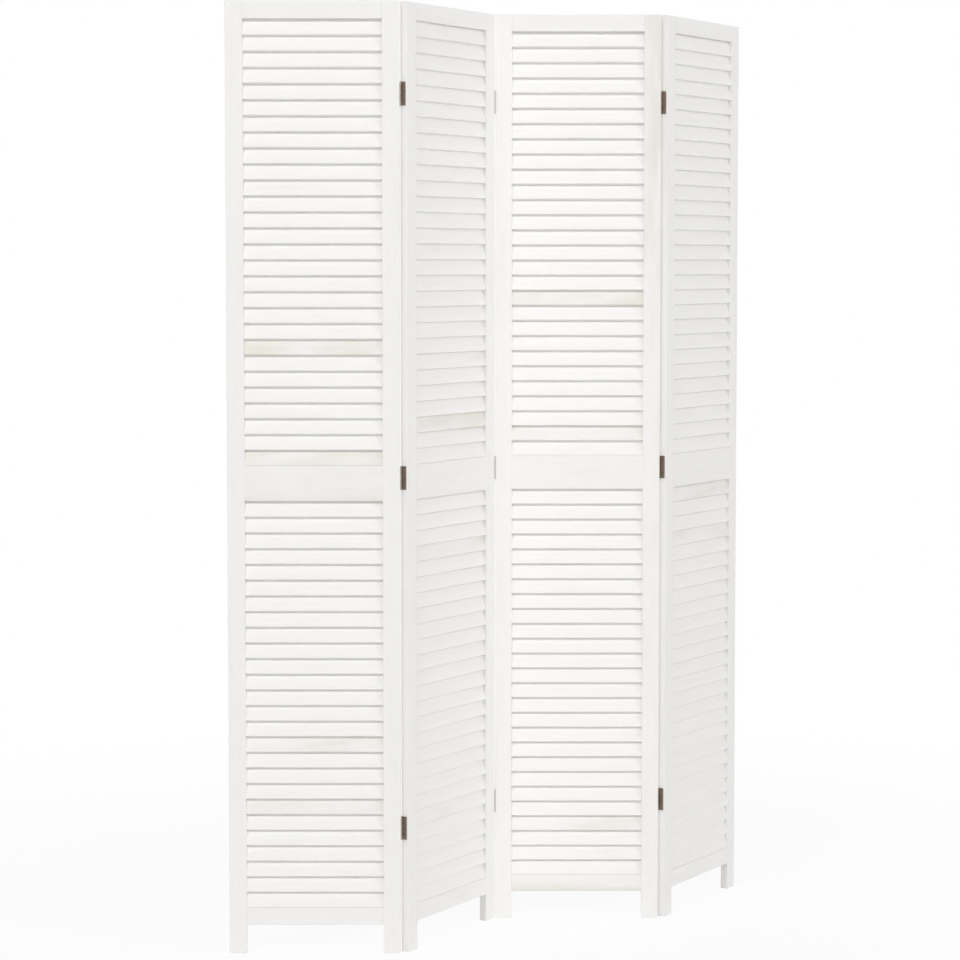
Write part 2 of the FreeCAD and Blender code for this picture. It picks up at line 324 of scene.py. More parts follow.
def standing_panels():
    """The panels where they stand at rest, found from panel 1's corner and the folds' axes."""
    direction = 0.0
    panels = [Panel(1, Vector((FIRST_CORNER.x, FIRST_CORNER.y, 0.0)), direction)]
    for joint, fold in zip(frame["joints"], FOLDS):
        flat_angle = math.radians(joint["range_deg"][0])
        direction -= joint["axis"][2] * flat_angle
        axis = Vector((joint["pos_m"][0], joint["pos_m"][1], 0.0))
        turn = Matrix.Rotation(direction, 3, "Z")
        corner = axis - turn @ fold.in_right_panel.translation
        panels.append(Panel(len(panels) + 1, corner, direction))
    return panels


PANELS = standing_panels()


class Wiring:
    """Adds nodes to a node tree and joins their sockets."""

    column_width = 220

    def __init__(self, tree):
        self.tree = tree

    def node(self, kind, settings=None, inputs=None):
        """A new node with its settings, and its inputs joined to sockets or set to values."""
        node = self.tree.nodes.new(kind)
        node.location.x = self.column_width * len(self.tree.nodes)
        for name, value in (settings or {}).items():
            setattr(node, name, value)
        for key, value in (inputs or {}).items():
            self.feed(self.socket(node.inputs, key), value)
        return node

    def socket(self, sockets, key):
        """A socket by its index, or the first one in use by its name."""
        if isinstance(key, int):
            return sockets[key]
        return next(socket for socket in sockets if socket.name == key and socket.enabled)

    def feed(self, socket, value):
        """Join a socket to another one, or set its value."""
        if isinstance(value, bpy.types.NodeSocket):
            self.tree.links.new(value, socket)
        else:
            socket.default_value = value

    def made(self, kind, settings=None, inputs=None, output=0):
        """The output socket of a new node."""
        return self.socket(self.node(kind, settings, inputs).outputs, output)

    def math(self, operation, *values):
        """A number worked out from one, two or three others."""
        return self.made("ShaderNodeMath", {"operation": operation}, dict(enumerate(values)))

    def vector(self, operation, *values):
        """A vector worked out from one or more vectors."""
        return self.made("ShaderNodeVectorMath", {"operation": operation}, dict(enumerate(values)))

    def scaled(self, vector, factor):
        """A vector times a number."""
        return self.made("ShaderNodeVectorMath", {"operation": "SCALE"}, {0: vector, "Scale": factor})

    def length(self, vector):
        """The length of a vector."""
        return self.made("ShaderNodeVectorMath", {"operation": "LENGTH"}, {0: vector}, "Value")

    def joined(self, x=0.0, y=0.0, z=0.0):
        """A vector from three numbers."""
        return self.made("ShaderNodeCombineXYZ", None, {0: x, 1: y, 2: z})

    def parts(self, vector):
        """The three numbers of a vector."""
        return self.node("ShaderNodeSeparateXYZ", None, {0: vector}).outputs

    def attribute(self, name, output):
        """A value that the mesh stores for each point."""
        return self.made("ShaderNodeAttribute", {"attribute_name": name}, None, output)

    def stored(self, geometry, domain, kind, name, value):
        """A geometry that stores a value under a name for each of its points or instances."""
        return self.made("GeometryNodeStoreNamedAttribute", {"data_type": kind, "domain": domain},
                         {"Geometry": geometry, "Name": name, "Value": value})

    def object_place(self):
        """A point's place in its object."""
        return self.made("ShaderNodeTexCoord", None, None, "Object")

    def noise(self, place, detail, roughness, distortion=0.0):
        """Fractal noise around one half, read at a place that is already scaled."""
        return self.made("ShaderNodeTexNoise", None, {
            "Vector": place, "Scale": 1.0, "Detail": detail,
            "Roughness": roughness, "Distortion": distortion})

    def swing(self, noise, size):
        """Noise around one half made a swing of a given size around zero."""
        return self.math("MULTIPLY_ADD", noise, size, -size / 2)

    def ramp(self, value, low, high, start=0.0, end=1.0):
        """A smooth step of a number from one range to another."""
        return self.made("ShaderNodeMapRange", {"interpolation_type": "SMOOTHSTEP"},
                         {0: value, 1: low, 2: high, 3: start, 4: end})

    def mixed(self, factor, first, second):
        """A colour between two colours."""
        return self.made("ShaderNodeMix", {"data_type": "RGBA"}, {0: factor, 6: first, 7: second}, 2)

    def bump(self, height, strength, distance):
        """A surface direction that follows a fine relief."""
        return self.made("ShaderNodeBump", None, {
            "Strength": strength, "Distance": distance, "Height": height}, "Normal")


def opaque(colour):
    """A colour of four numbers from one of three."""
    return (*colour, 1.0)


def emptied_wiring(owner):
    """The wiring of a material's or a world's node tree, with its old nodes gone."""
    owner.use_nodes = True
    owner.node_tree.nodes.clear()
    return Wiring(owner.node_tree)


def new_material(name):
    """A material with an empty tree but for its output and one principled shader."""
    material = bpy.data.materials.new(name)
    wiring = emptied_wiring(material)
    shader = wiring.node("ShaderNodeBsdfPrincipled")
    wiring.node("ShaderNodeOutputMaterial", None, {"Surface": shader.outputs[0]})
    return material, wiring, shader


def edge_distance(wiring, place, half):
    """How far a surface point is from its board's nearest arris: the middle one of three depths."""
    depths = wiring.parts(wiring.vector("SUBTRACT", half, wiring.vector("ABSOLUTE", place)))
    lesser = wiring.math("MINIMUM", depths[0], depths[1])
    greater = wiring.math("MAXIMUM", depths[0], depths[1])
    return wiring.math("MAXIMUM", lesser, wiring.math("MINIMUM", greater, depths[2]))


def washed_wood_material():
    """White wash over pale wood: streaks along the grain, beige showing through, rubbed arrises."""
    rub_width = 1.8 * MILLIMETRE
    most_rubbed = 0.2
    pore_shade = 0.06
    streak_shade = 0.08
    darkest_shade = 0.93
    pore_relief = 0.5
    least_roughness = 0.38
    streak_roughness = 0.3
    wood = bpy.context.scene.screen_wood
    material, wiring, shader = new_material("washed_wood_finish")
    place = wiring.attribute("grain_place", "Vector")
    half = wiring.attribute("board_half", "Vector")
    tone = wiring.attribute("board_tone", "Fac")
    shift_direction = (7.3, 3.1, 5.7)
    shift = wiring.scaled(shift_direction, wiring.attribute("board_shift", "Fac"))

    def grain(scale, detail, roughness, distortion=0.0):
        stretched = wiring.vector("MULTIPLY", place, scale)
        return wiring.noise(wiring.vector("ADD", stretched, shift), detail, roughness, distortion)

    patches = grain(scale=(6.0, 26.0, 16.0), detail=3.0, roughness=0.55, distortion=0.3)
    streaks = grain(scale=(6.0, 130.0, 80.0), detail=5.0, roughness=0.62, distortion=0.4)
    pores = grain(scale=(24.0, 1100.0, 700.0), detail=3.0, roughness=0.6)

    swings = wiring.math("ADD", wiring.swing(patches, size=1.3), wiring.swing(streaks, size=0.6))
    beige_share = wiring.ramp(wiring.math("ADD", tone, swings), low=0.1, high=1.1)
    washed = wiring.mixed(beige_share, opaque(wood.wash_colour), opaque(wood.beige_colour))

    distance = edge_distance(wiring, place, half)
    at_arris = wiring.ramp(distance, low=0.0, high=rub_width, start=1.0, end=0.0)
    rub = wiring.ramp(patches, low=0.42, high=0.68, end=most_rubbed)
    rubbed = wiring.mixed(wiring.math("MULTIPLY", at_arris, rub), washed, opaque(wood.worn_colour))

    fine_lines = wiring.math("MULTIPLY_ADD", pores, pore_shade, darkest_shade)
    shade = wiring.math("MULTIPLY_ADD", streaks, streak_shade, fine_lines)
    relief = wiring.math("ADD", streaks, wiring.math("MULTIPLY", pores, pore_relief))
    wiring.feed(shader.inputs["Base Color"], wiring.scaled(rubbed, shade))
    roughness = wiring.math("MULTIPLY_ADD", streaks, streak_roughness, least_roughness)
    wiring.feed(shader.inputs["Roughness"], roughness)
    wiring.feed(shader.inputs["Normal"], wiring.bump(relief, strength=0.3, distance=0.2 * MILLIMETRE))
    shader.inputs["Specular IOR Level"].default_value = 0.35
    return material


def washed_wood():
    """The material of every washed board, made the first time it is asked for."""
    return bpy.data.materials.get("washed_wood_finish") or washed_wood_material()


def dowel_wood_material():
    """Bare turned wood with fine streaks along the dowels."""
    streak_scale = (60.0, 60.0, 900.0)
    streak_darkness = 0.7
    least_roughness = 0.55
    streak_roughness = 0.2
    material, wiring, shader = new_material("bare_dowel_finish")
    stretched = wiring.vector("MULTIPLY", wiring.object_place(), streak_scale)
    streaks = wiring.noise(stretched, detail=4.0, roughness=0.6, distortion=0.3)
    light = bpy.context.scene.screen_wood.dowel_colour
    dark = [channel * streak_darkness for channel in light]
    wiring.feed(shader.inputs["Base Color"], wiring.mixed(streaks, opaque(dark), opaque(light)))
    roughness = wiring.math("MULTIPLY_ADD", streaks, streak_roughness, least_roughness)
    wiring.feed(shader.inputs["Roughness"], roughness)
    wiring.feed(shader.inputs["Normal"], wiring.bump(streaks, strength=0.2, distance=0.1 * MILLIMETRE))
    return material


def bronze_material(name, fineness):
    """Antique bronze plating: cloudy patina, fine rubbed lines and a satin gloss."""
    cloud_scale = 160.0 * fineness
    line_scale = (2600.0 * fineness, 2600.0 * fineness, 120.0)
    most_rubbed = 0.6
    hinge = bpy.context.scene.screen_hinges
    material, wiring, shader = new_material(name)
    place = wiring.object_place()
    clouds = wiring.noise(wiring.scaled(place, cloud_scale), detail=4.0, roughness=0.6, distortion=0.4)
    lines = wiring.noise(wiring.vector("MULTIPLY", place, line_scale), detail=3.0, roughness=0.6)
    plated = wiring.ramp(clouds, low=0.3, high=0.7)
    aged = wiring.mixed(plated, opaque(hinge.patina_colour), opaque(hinge.bronze_colour))
    rub = wiring.ramp(lines, low=0.55, high=0.8, end=most_rubbed)
    rubbed = wiring.mixed(rub, aged, opaque(hinge.rubbed_colour))
    wiring.feed(shader.inputs["Base Color"], rubbed)
    roughness = wiring.ramp(clouds, low=0.3, high=0.75, start=0.55, end=0.36)
    wiring.feed(shader.inputs["Roughness"], roughness)
    wiring.feed(shader.inputs["Normal"], wiring.bump(lines, strength=0.2, distance=0.05 * MILLIMETRE))
    shader.inputs["Metallic"].default_value = 0.35
    return material, wiring, shader, rubbed


def bronze_and_highlight_material():
    """Bronze plating, with a pale colour painted on the barrels in place of their highlight."""
    most_highlight = 0.85
    hinge = bpy.context.scene.screen_hinges
    highlight_radius = 0.86 * hinge.barrel_room
    material, wiring, shader, plating = bronze_material("hinge_bronze_finish", fineness=1.0)
    # Painted highlight: the barrels, nearest the pin's axis, are coloured pale in place of their highlight.
    across_axis = wiring.vector("MULTIPLY", wiring.attribute("axis_place", "Vector"), (1.0, 1.0, 0.0))
    distance = wiring.length(across_axis)
    bare = wiring.ramp(distance, low=highlight_radius, high=hinge.barrel_room, start=most_highlight, end=0.0)
    wiring.feed(shader.inputs["Base Color"], wiring.mixed(bare, plating, opaque(hinge.barrel_highlight_colour)))
    return material


def dress_node(name, material):
    """Give a frame node that stays visible its finished material."""
    mesh = frame["nodes"][name].data
    mesh.materials.clear()
    mesh.materials.append(material)


def working_object(name, mesh):
    """An object in the scene that modifiers can work on."""
    worker = bpy.data.objects.new(name, mesh)
    bpy.context.scene.collection.objects.link(worker)
    return worker


def drop_object(worker):
    """Remove a working object and its mesh."""
    mesh = worker.data
    bpy.data.objects.remove(worker)
    bpy.data.meshes.remove(mesh)


def applied_mesh(worker):
    """A plain mesh of a working object with its modifiers applied. The working object is removed."""
    bpy.context.view_layer.update()
    graph = bpy.context.evaluated_depsgraph_get()
    mesh = bpy.data.meshes.new_from_object(
        worker.evaluated_get(graph), preserve_all_data_layers=True, depsgraph=graph)
    if not mesh.polygons:
        raise RuntimeError(f"{worker.name} has no faces left")
    drop_object(worker)
    return mesh


def smooth_shaded(mesh):
    """A copy of a mesh whose rounded arrises run smoothly into flat faces."""
    crease = math.radians(40.0)
    mesh.shade_smooth()
    mesh.set_sharp_from_angle(angle=crease)
    worker = working_object("smoothing", mesh)
    weighted = worker.modifiers.new("weighted normals", "WEIGHTED_NORMAL")
    weighted.keep_sharp = True
    return applied_mesh(worker)


def finish_piece(name, mesh, body, slot, *nodes):
    """Put a finished mesh into the scene, riding on a body in place of the nodes that it replaces."""
    mesh.name = name
    piece = bpy.data.objects.new(name, mesh)
    bpy.context.scene.collection.objects.link(piece)
    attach(piece, body)
    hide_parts(*nodes)


def finish_board(mesh, panel, node):
    """Move a washed board from a panel's own frame to where the panel stands, in place of a node."""
    mesh.transform(panel.place)
    finish_piece(f"washed_{node}", mesh, panel.body, "white_washed_wood", node)


def store_grain(mesh, low, high, along, across, shift, tone_at):
    """Store where each point lies in its board, so that the grain follows the board.

    Along and across are the axes of the grain and of the board's face. A mesh that slats have cut
    already has attributes of these names, which are then written over.
    """
    middle = (Vector(low) + Vector(high)) / 2
    half = (Vector(high) - Vector(low)) / 2
    order = [along, across, 3 - along - across]
    points = [vertex.co.copy() for vertex in mesh.vertices]
    values = {
        "grain_place": [(point - middle)[axis] for point in points for axis in order],
        "board_half": [half[axis] for _ in points for axis in order],
        "board_shift": [shift for _ in points],
        "board_tone": [tone_at(point) for point in points],
    }
    for name, numbers in values.items():
        is_vector = len(numbers) > len(points)
        if name not in mesh.attributes:
            mesh.attributes.new(name, "FLOAT_VECTOR" if is_vector else "FLOAT", "POINT")
        mesh.attributes[name].data.foreach_set("vector" if is_vector else "value", numbers)


def mesh_from(bm, name):
    """A mesh from a finished bmesh."""
    mesh = bpy.data.meshes.new(name)
    bm.to_mesh(mesh)
    bm.free()
    return mesh


def block(low, high):
    """A bmesh box between two corners."""
    bm = bmesh.new()
    size = Vector(high) - Vector(low)
    middle = (Vector(high) + Vector(low)) / 2
    place = Matrix.Translation(middle) @ Matrix.Diagonal((*size, 1.0))
    bmesh.ops.create_cube(bm, size=1.0, matrix=place)
    return bm


def rod(radius, start, end, segments=32):
    """A bmesh cylinder from one point to another."""
    bm = bmesh.new()
    line = Vector(end) - Vector(start)
    turn = line.to_track_quat("Z", "Y").to_matrix().to_4x4()
    place = Matrix.Translation((Vector(start) + Vector(end)) / 2) @ turn
    bmesh.ops.create_cone(bm, cap_ends=True, segments=segments, radius1=radius, radius2=radius,
                          depth=line.length, matrix=place)
    return bm


def merged(shapes):
    """One bmesh from several."""
    bm = bmesh.new()
    for shape in shapes:
        mesh = mesh_from(shape, "shape")
        bm.from_mesh(mesh)
        bpy.data.meshes.remove(mesh)
    return bm


def eased_board(name, low, high, easing_of, cutters):
    """A board with rounded arrises, cut by several meshes one after another."""
    widest = bpy.context.scene.screen_wood.outer_easing
    bm = block(low, high)
    weights = bm.edges.layers.float.new("bevel_weight_edge")
    for edge in bm.edges:
        edge[weights] = easing_of(edge) / widest
    worker = working_object(name, mesh_from(bm, name))
    bevel = worker.modifiers.new("easing", "BEVEL")
    bevel.limit_method = "WEIGHT"
    bevel.width = widest
    bevel.segments = 3
    for cutter in cutters:
        cut = worker.modifiers.new("cut", "BOOLEAN")
        cut.operation = "DIFFERENCE"
        cut.solver = "EXACT"
        cut.object = cutter
    return applied_mesh(worker)


def slat_tilt():
    """Angle of the slats from the vertical: a board then just fills the panel's thickness."""
    wood = bpy.context.scene.screen_wood
    depth = PANEL_THICKNESS - 2 * wood.slat_face_margin
    diagonal = math.hypot(wood.slat_width, wood.slat_thickness)
    return math.asin(depth / diagonal) - math.atan2(wood.slat_thickness, wood.slat_width)


SLAT_INPUTS = {
    "NodeSocketFloat": (
        "Left", "Right", "Width", "Thickness", "Easing", "Growth", "Tilt", "Front",
        "First Level", "Pitch", "Lowest", "Highest", "Beige Tone"),
    "NodeSocketInt": ("Count", "First Beige Slat", "Second Beige Slat", "Seed"),
    "NodeSocketMaterial": ("Material",),
}


def new_geometry_tree(name, inputs):
    """A geometry tree with named inputs. Gives its wiring, its input sockets and its output socket."""
    tree = bpy.data.node_groups.new(name, "GeometryNodeTree")
    for kind, labels in inputs.items():
        for label in labels:
            tree.interface.new_socket(name=label, in_out="INPUT", socket_type=kind)
    tree.interface.new_socket(name="Geometry", in_out="OUTPUT", socket_type="NodeSocketGeometry")
    wiring = Wiring(tree)
    given = wiring.node("NodeGroupInput").outputs
    result = wiring.node("NodeGroupOutput").inputs["Geometry"]
    return wiring, given, result


def slat_tree():
    """Geometry tree of one opening's slats: a rounded board, repeated upwards and ended at the rails."""
    fillet_steps = 4
    shift_seed_step = 100.0
    wiring, given, result = new_geometry_tree("louvre_slats", SLAT_INPUTS)
    width = wiring.math("MULTIPLY_ADD", given["Growth"], 2.0, given["Width"])
    thickness = wiring.math("MULTIPLY_ADD", given["Growth"], 2.0, given["Thickness"])
    section = wiring.made("GeometryNodeCurvePrimitiveQuadrilateral", None, {
        "Width": width, "Height": thickness})
    rounded = wiring.made("GeometryNodeFilletCurve", {"mode": "POLY"}, {
        "Curve": section, "Count": fillet_steps, "Radius": given["Easing"], "Limit Radius": True})
    middle = wiring.math("MULTIPLY", wiring.math("ADD", given["Left"], given["Right"]), 0.5)
    length = wiring.math("SUBTRACT", given["Right"], given["Left"])
    half_length = wiring.math("MULTIPLY", length, 0.5)
    left_end = wiring.joined(wiring.math("MULTIPLY", half_length, -1.0))
    line = wiring.made("GeometryNodeCurvePrimitiveLine", None, {
        "Start": left_end, "End": wiring.joined(half_length)})
    upright = wiring.made("GeometryNodeSetCurveNormal", {"mode": "Z_UP"}, {"Curve": line})
    swept = wiring.made("GeometryNodeCurveToMesh", None, {
        "Curve": upright, "Profile Curve": rounded, "Fill Caps": True})
    board = wiring.made("GeometryNodeFlipFaces", None, {"Mesh": swept})

    place = wiring.made("GeometryNodeInputPosition")
    half_width = wiring.math("MULTIPLY", width, 0.5)
    half = wiring.joined(half_length, half_width, wiring.math("MULTIPLY", thickness, 0.5))
    board = wiring.stored(board, "POINT", "FLOAT_VECTOR", "grain_place", place)
    board = wiring.stored(board, "POINT", "FLOAT_VECTOR", "board_half", half)

    along, across, through = wiring.parts(place)
    up_board = wiring.math("MULTIPLY_ADD", given["Width"], 0.5, across)
    into_board = wiring.math("MULTIPLY_ADD", given["Thickness"], 0.5, through)
    sine = wiring.math("SINE", given["Tilt"])
    cosine = wiring.math("COSINE", given["Tilt"])
    depth = wiring.math("ADD", given["Front"], wiring.math(
        "MULTIPLY_ADD", up_board, sine, wiring.math("MULTIPLY", into_board, cosine)))
    height = wiring.math("SUBTRACT", wiring.math("MULTIPLY", up_board, cosine),
                         wiring.math("MULTIPLY", into_board, sine))
    tilted = wiring.made("GeometryNodeSetPosition", None, {
        "Geometry": board, "Position": wiring.joined(wiring.math("ADD", along, middle), depth, height)})

    levels = wiring.made("GeometryNodeMeshLine", None, {
        "Count": given["Count"], "Start Location": wiring.joined(z=given["First Level"]),
        "Offset": wiring.joined(z=given["Pitch"])})
    slats = wiring.made("GeometryNodeInstanceOnPoints", None, {"Points": levels, "Instance": tilted})
    index = wiring.made("GeometryNodeInputIndex")

    def random_number(limits, seed):
        return wiring.made("FunctionNodeRandomValue", None, {
            "Min": limits[0], "Max": limits[1], "ID": index, "Seed": seed}, "Value")

    def same_index(number):
        return wiring.made("FunctionNodeCompare", {"data_type": "INT", "operation": "EQUAL"},
                           {"A": index, "B": number})

    first_beige = same_index(given["First Beige Slat"])
    second_beige = same_index(given["Second Beige Slat"])
    beige = wiring.math("ADD", first_beige, second_beige)
    plain_tone = random_number(SLAT_TONE_LIMITS, given["Seed"])
    tone = wiring.math("MULTIPLY_ADD", beige, given["Beige Tone"], plain_tone)
    shift = random_number(GRAIN_SHIFT_LIMITS, wiring.math("ADD", given["Seed"], shift_seed_step))
    slats = wiring.stored(slats, "INSTANCE", "FLOAT", "board_tone", tone)
    slats = wiring.stored(slats, "INSTANCE", "FLOAT", "board_shift", shift)
    boards = wiring.made("GeometryNodeRealizeInstances", None, {"Geometry": slats})

    level = wiring.parts(place)[2]
    rise = wiring.math("MAXIMUM", wiring.math("SUBTRACT", given["Lowest"], level), 0.0)
    fall = wiring.math("MAXIMUM", wiring.math("SUBTRACT", level, given["Highest"]), 0.0)
    slide = wiring.math("DIVIDE", wiring.math("SUBTRACT", rise, fall), cosine)
    ended = wiring.made("GeometryNodeSetPosition", None, {
        "Geometry": boards, "Offset": wiring.joined(
            y=wiring.math("MULTIPLY", slide, sine), z=wiring.math("MULTIPLY", slide, cosine))})
    wiring.feed(result, wiring.made("GeometryNodeSetMaterial", None, {
        "Geometry": ended, "Material": given["Material"]}))
    return wiring.tree


def grown_mesh(tree, name, values):
    """A plain mesh grown by a geometry tree from its named inputs."""
    worker = working_object(name, bpy.data.meshes.new(name))
    modifier = worker.modifiers.new(tree.name, "NODES")
    modifier.node_group = tree
    for item in tree.interface.items_tree:
        if item.in_out == "INPUT" and item.name in values:
            modifier[item.identifier] = values[item.name]
    return applied_mesh(worker)


def slat_mesh(name, opening, left, right, values):
    """The slats of one opening, or their housings, between two places along a panel."""
    wood = bpy.context.scene.screen_wood
    base, top = OPENINGS[opening]
    tree = bpy.data.node_groups.get("louvre_slats") or slat_tree()
    sizes = {
        "Left": left, "Right": right, "Width": wood.slat_width, "Thickness": wood.slat_thickness,
        "Tilt": slat_tilt(), "Front": wood.slat_face_margin, "Pitch": wood.slat_pitch,
        "First Level": base + wood.slat_rail_clearance, "Count": round((top - base) / wood.slat_pitch),
        "Material": washed_wood(),
    }
    return grown_mesh(tree, name, {**sizes, **values})


def slat_housings(left, right):
    """A working object that cuts the housings of both openings into a stile."""
    growth = bpy.context.scene.screen_wood.housing_side_clearance
    bm = bmesh.new()
    for opening, (base, top) in OPENINGS.items():
        mesh = slat_mesh("housings", opening, left, right, {
            "Growth": growth, "Easing": 0.0, "Lowest": base, "Highest": top})
        bm.from_mesh(mesh)
        bpy.data.meshes.remove(mesh)
    return working_object("housings", mesh_from(bm, "housings"))


def dowel_bores():
    """A working object that bores the dowel holes of a panel."""
    wood = bpy.context.scene.screen_wood
    reach = Vector((wood.dowel_reach, 0.0, 0.0))
    bores = []
    for name, (base, top) in RAIL_SPANS.items():
        spacing = wood.middle_rail_dowels if name == "middle_rail" else wood.narrow_rail_dowels
        for joint in (STILE_WIDTH, PANEL_WIDTH - STILE_WIDTH):
            for offset in (-spacing / 2, spacing / 2):
                middle = Vector((joint, PANEL_THICKNESS / 2, (base + top) / 2 + offset))
                bores.append(rod(wood.dowel_bore / 2, middle - reach, middle + reach))
    return working_object("dowel_bores", mesh_from(merged(bores), "dowel_bores"))


def hinge_cutters(axis, side):
    """Working objects that cut leaf mortises, room for the barrels and screw holes into a stile."""
    hinge = bpy.context.scene.screen_hinges
    past_pin = hinge.barrel_room / 4
    reach = Vector((0.0, 0.0, PIN_HALF_LENGTH + past_pin))
    half = HINGE_HEIGHT / 2 + hinge.mortise_clearance
    face = side * (HALF_GAP + hinge.leaf_thickness)
    face_point = Vector((side * HALF_GAP, (LEAF_END - AXIS_OFFSET) / 2, 0.0))
    screw_offset = HINGE_HEIGHT / 2 - hinge.screw_inset
    shapes = {"mortises": [], "barrel_rooms": [], "screw_bores": []}
    for level in HINGE_LEVELS.values():
        low = (min(face, 0.0), LEAF_END - hinge.mortise_clearance, level - half)
        high = (max(face, 0.0), AXIS_OFFSET, level + half)
        shapes["mortises"].append(block(low, high))
        middle = Vector((0.0, 0.0, level))
        shapes["barrel_rooms"].append(rod(hinge.barrel_room, middle - reach, middle + reach))
        for offset in (-screw_offset, screw_offset):
            start = face_point + Vector((0.0, 0.0, level + offset))
            end = start + Vector((side * hinge.screw_depth, 0.0, 0.0))
            shapes["screw_bores"].append(rod(hinge.screw_bore / 2, start, end))
    cutters = []
    for name, group in shapes.items():
        mesh = mesh_from(merged(group), name)
        mesh.transform(axis)
        cutters.append(working_object(name, mesh))
    return cutters


def fold_cutters(panel, edge):
    """Hinge cutters for one stile of a panel, if a fold joins its edge."""
    for fold in FOLDS:
        if edge == "right" and fold.left_panel == panel.body:
            return hinge_cutters(fold.in_left_panel, fold.left_side)
        if edge == "left" and fold.right_panel == panel.body:
            return hinge_cutters(fold.in_right_panel, fold.right_side)
    return []


def board_shift(panel, order):
    """A steady random number that moves a board's grain to a place of its own."""
    seeds_per_panel = 100
    return random.Random(seeds_per_panel * panel.number + order).uniform(*GRAIN_SHIFT_LIMITS)


def tone_by_height(strength, base, top, base_share, top_share):
    """A function that gives a point's tone, which changes evenly from one level to another."""
    def tone_at(point):
        part = (point.z - base) / (top - base)
        return strength * (base_share + (top_share - base_share) * part)

    return tone_at


def stile_easing(inner):
    """A function that gives the easing of a stile's edge: less on the side of the openings."""
    wood = bpy.context.scene.screen_wood

    def easing_of(edge):
        at_opening = all(abs(vertex.co.x - inner) < wood.inner_easing for vertex in edge.verts)
        return wood.inner_easing if at_opening else wood.outer_easing

    return easing_of


def rail_easing(edge):
    """Easing of a rail's edge: none against the stiles, and less along the openings than outside."""
    wood = bpy.context.scene.screen_wood
    outer_levels = (RAIL_SPANS["bottom_rail"][0], RAIL_SPANS["top_rail"][1])
    first, second = (vertex.co for vertex in edge.verts)
    if abs(first.x - second.x) < wood.inner_easing:
        return 0.0
    outside = any(abs(first.z - level) < wood.inner_easing for level in outer_levels)
    return wood.outer_easing if outside else wood.inner_easing


class BuildStiles(bpy.types.Operator):
    """Make the eight stiles, with housings for the slats and mortises for the hinges"""

    bl_idname = "folding_screen.build_stiles"
    bl_label = "Build Stiles"

    def execute(self, context):
        depth = context.scene.screen_wood.housing_depth
        overshoot = 1.0 * MILLIMETRE
        right_joint = PANEL_WIDTH - STILE_WIDTH
        spans = {"left": (0.0, STILE_WIDTH), "right": (right_joint, PANEL_WIDTH)}
        inner_sides = {"left": STILE_WIDTH, "right": right_joint}
        housings = {
            "left": slat_housings(STILE_WIDTH - depth, STILE_WIDTH + overshoot),
            "right": slat_housings(right_joint - overshoot, right_joint + depth),
        }
        bores = dowel_bores()
        for panel in PANELS:
            for order, (edge, (left, right)) in enumerate(spans.items()):
                low, high = (left, 0.0, 0.0), (right, PANEL_THICKNESS, PANEL_HEIGHT)
                strength = BEIGE_STILE_TONES.get((panel.number, edge), PLAIN_TONE)
                tone_at = tone_by_height(strength, 0.0, PANEL_HEIGHT, base_share=0.0, top_share=1.0)
                hinges = fold_cutters(panel, edge)
                cutters = [*hinges, housings[edge], bores]
                mesh = eased_board("stile", low, high, stile_easing(inner_sides[edge]), cutters)
                mesh = smooth_shaded(mesh)
                store_grain(mesh, low, high, 2, 0, board_shift(panel, order), tone_at)
                mesh.materials.append(washed_wood())
                finish_board(mesh, panel, f"panel_{panel.number}_{edge}_stile")
                for cutter in hinges:
                    drop_object(cutter)
        for cutter in [*housings.values(), bores]:
            drop_object(cutter)
        return {"FINISHED"}


class BuildRails(bpy.types.Operator):
    """Make the twelve rails, bored for their dowels"""

    bl_idname = "folding_screen.build_rails"
    bl_label = "Build Rails"

    def execute(self, context):
        first_order = 10
        bores = dowel_bores()
        left, right = STILE_WIDTH, PANEL_WIDTH - STILE_WIDTH
        for panel in PANELS:
            for order, (name, (base, top)) in enumerate(RAIL_SPANS.items(), first_order):
                low, high = (left, 0.0, base), (right, PANEL_THICKNESS, top)
                strength = BEIGE_RAIL_TONES.get((panel.number, name), PLAIN_TONE)
                tone_at = tone_by_height(strength, base, top, base_share=1.25, top_share=0.25)
                mesh = smooth_shaded(eased_board("rail", low, high, rail_easing, [bores]))
                store_grain(mesh, low, high, 0, 2, board_shift(panel, order), tone_at)
                mesh.materials.append(washed_wood())
                finish_board(mesh, panel, f"panel_{panel.number}_{name}")
        drop_object(bores)
        return {"FINISHED"}


class BuildSlats(bpy.types.Operator):
    """Make the slats of all openings"""

    bl_idname = "folding_screen.build_slats"
    bl_label = "Build Slats"

    def execute(self, context):
        seeds_per_panel = 10
        wood = context.scene.screen_wood
        reach = wood.housing_depth - wood.housing_end_clearance
        left, right = STILE_WIDTH - reach, PANEL_WIDTH - STILE_WIDTH + reach
        for panel in PANELS:
            for order, (opening, (base, top)) in enumerate(OPENINGS.items()):
                first, second = BEIGE_SLATS[(panel.number, opening)]
                mesh = slat_mesh("slats", opening, left, right, {
                    "Growth": 0.0, "Easing": wood.slat_easing,
                    "Lowest": base + wood.slat_rail_clearance, "Highest": top - wood.slat_rail_clearance,
                    "First Beige Slat": first, "Second Beige Slat": second,
                    "Beige Tone": BEIGE_SLAT_TONES[opening], "Seed": seeds_per_panel * panel.number + order})
                finish_board(smooth_shaded(mesh), panel, f"panel_{panel.number}_{opening}_slats")
        return {"FINISHED"}


class DressDowels(bpy.types.Operator):
    """Give the hidden dowels their bare wood"""

    bl_idname = "folding_screen.dress_dowels"
    bl_label = "Dress Dowels"

    def execute(self, context):
        material = dowel_wood_material()
        for panel in PANELS:
            dress_node(f"panel_{panel.number}_dowels", material)
        return {"FINISHED"}


